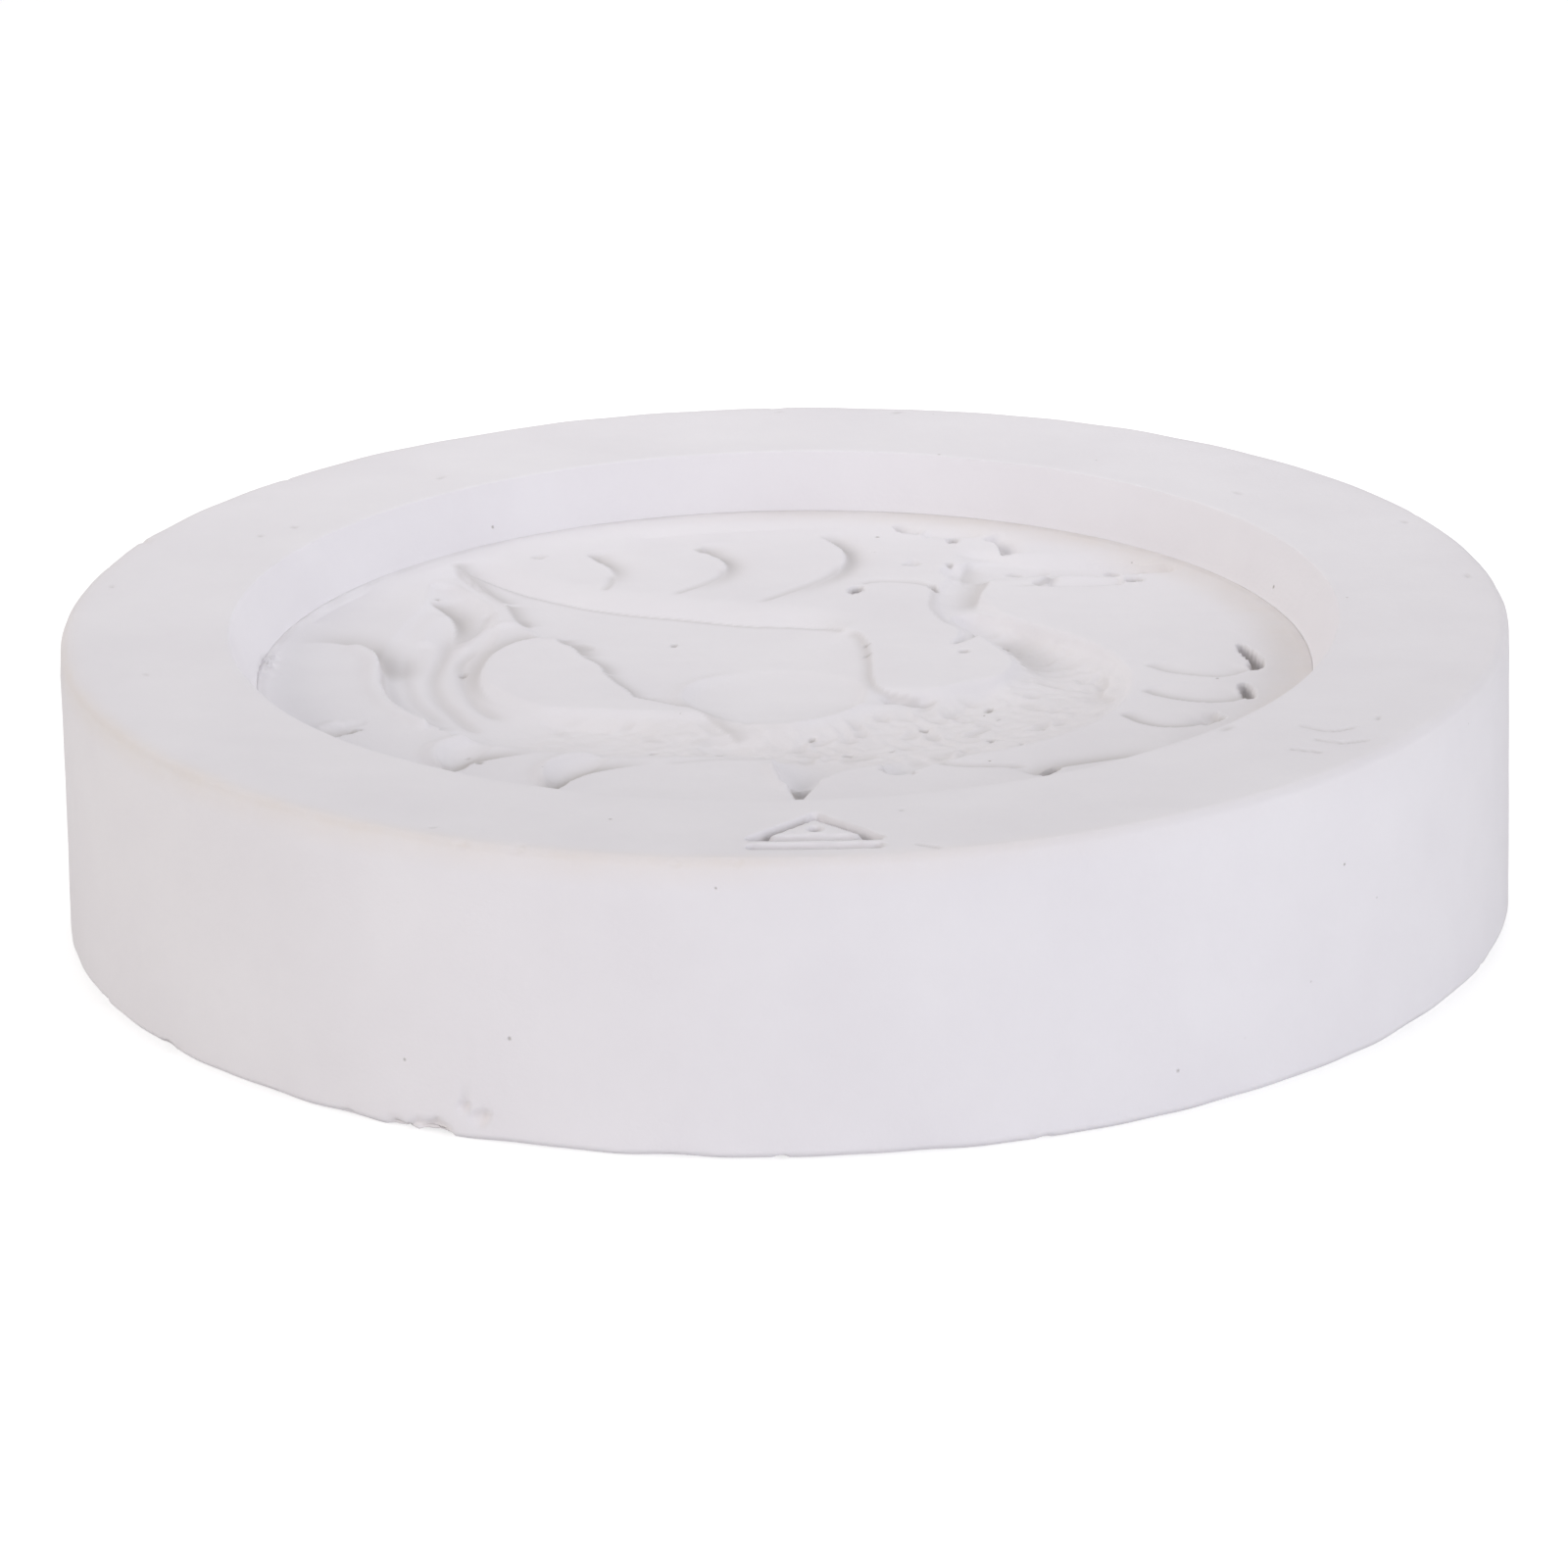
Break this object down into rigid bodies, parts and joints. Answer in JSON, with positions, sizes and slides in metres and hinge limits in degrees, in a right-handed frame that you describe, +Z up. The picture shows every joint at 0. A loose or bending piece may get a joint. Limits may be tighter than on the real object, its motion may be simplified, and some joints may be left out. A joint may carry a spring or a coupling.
{
  "type": "plaster mold",
  "caption": "Round white plaster press mould with a shallow bevelled recess whose floor carries a sunk relief of a winged dragon, for pressing clay medallions and tiles.",
  "frame": {"origin": "centre of the flat underside", "axes": "+Z up out of the recess; -Y points from the centre to the register mark on the rim; +X is to the right of someone who reads the mark from its side of the mould"},
  "size_m": [0.2, 0.2, 0.0415],
  "materials": {
    "block_plaster": "matte",
    "face_plaster": "matte"
  },
  "bodies": {
    "root": {"case_block": "block_plaster", "face_plate": "face_plaster"}
  },
  "joints": []
}
